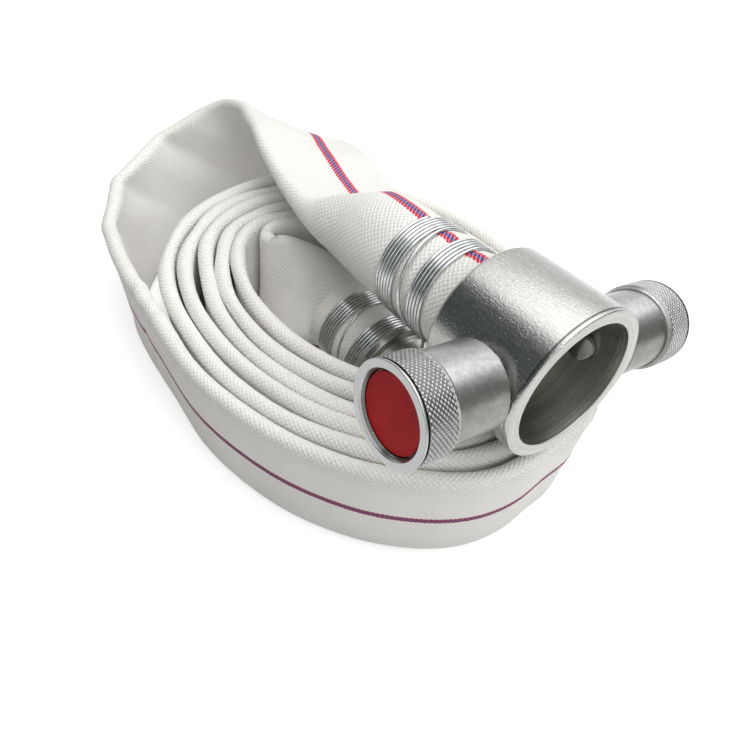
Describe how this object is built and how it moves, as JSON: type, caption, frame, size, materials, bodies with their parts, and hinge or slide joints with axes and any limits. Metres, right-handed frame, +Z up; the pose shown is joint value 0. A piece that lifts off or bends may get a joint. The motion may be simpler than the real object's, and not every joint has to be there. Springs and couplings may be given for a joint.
{
  "type": "rolled lay-flat fire hose with instantaneous couplings",
  "caption": "White woven lay-flat hose rolled on edge, wire-bound to an aluminium socket coupling with spring-loaded pull-release plungers and to a plug coupling in the roll.",
  "frame": {"origin": "centre of the object's box, on the plane that the rolled hose stands on", "axes": "+X along the object's length, close to the socket coupling's axis and towards its mouth; +Y from the near release knob to the far one; +Z up"},
  "size_m": [0.3852, 0.2438, 0.1726],
  "materials": {
    "hose_jacket": "matt woven polyester, plain red and blue tracer stripe along the middle",
    "coupling_aluminium": "cast and turned, brushed along the axis, light scratches",
    "knob_aluminium": "turned, diamond knurl on the grip",
    "seal_rubber": "matt moulded rubber",
    "plunger_steel": "turned",
    "spring_steel": "drawn spring wire",
    "binding_wire": "bright galvanised wire",
    "cap_red": "semi-gloss red disc"
  },
  "bodies": {
    "hose_with_couplings": {"hose": "hose_jacket", "female_body": "coupling_aluminium", "seal_ring": "seal_rubber", "near_spring": "spring_steel", "near_gland_nut": "coupling_aluminium", "far_spring": "spring_steel", "far_gland_nut": "coupling_aluminium", "male_body": "coupling_aluminium", "outer_binding_wire": "binding_wire", "inner_binding_wire": "binding_wire"},
    "near_release": {"near_plunger": "plunger_steel", "near_knob": "knob_aluminium", "near_knob_nut": "plunger_steel", "near_knob_cap": "cap_red"},
    "far_release": {"far_plunger": "plunger_steel", "far_knob": "knob_aluminium", "far_knob_nut": "plunger_steel", "far_knob_cap": "cap_red"}
  },
  "joints": [
    {"name": "near_release_pull", "type": "slide", "parent": "hose_with_couplings", "child": "near_release", "axis": [-0.0193, -0.9803, 0.1967], "range_m": [0, 0.007], "stiffness_N_per_m": 4000, "springref_m": -0.008, "deforming": ["near_spring"]},
    {"name": "far_release_pull", "type": "slide", "parent": "hose_with_couplings", "child": "far_release", "axis": [0.0193, 0.9803, -0.1967], "range_m": [0, 0.007], "stiffness_N_per_m": 4000, "springref_m": -0.008, "deforming": ["far_spring"]}
  ]
}
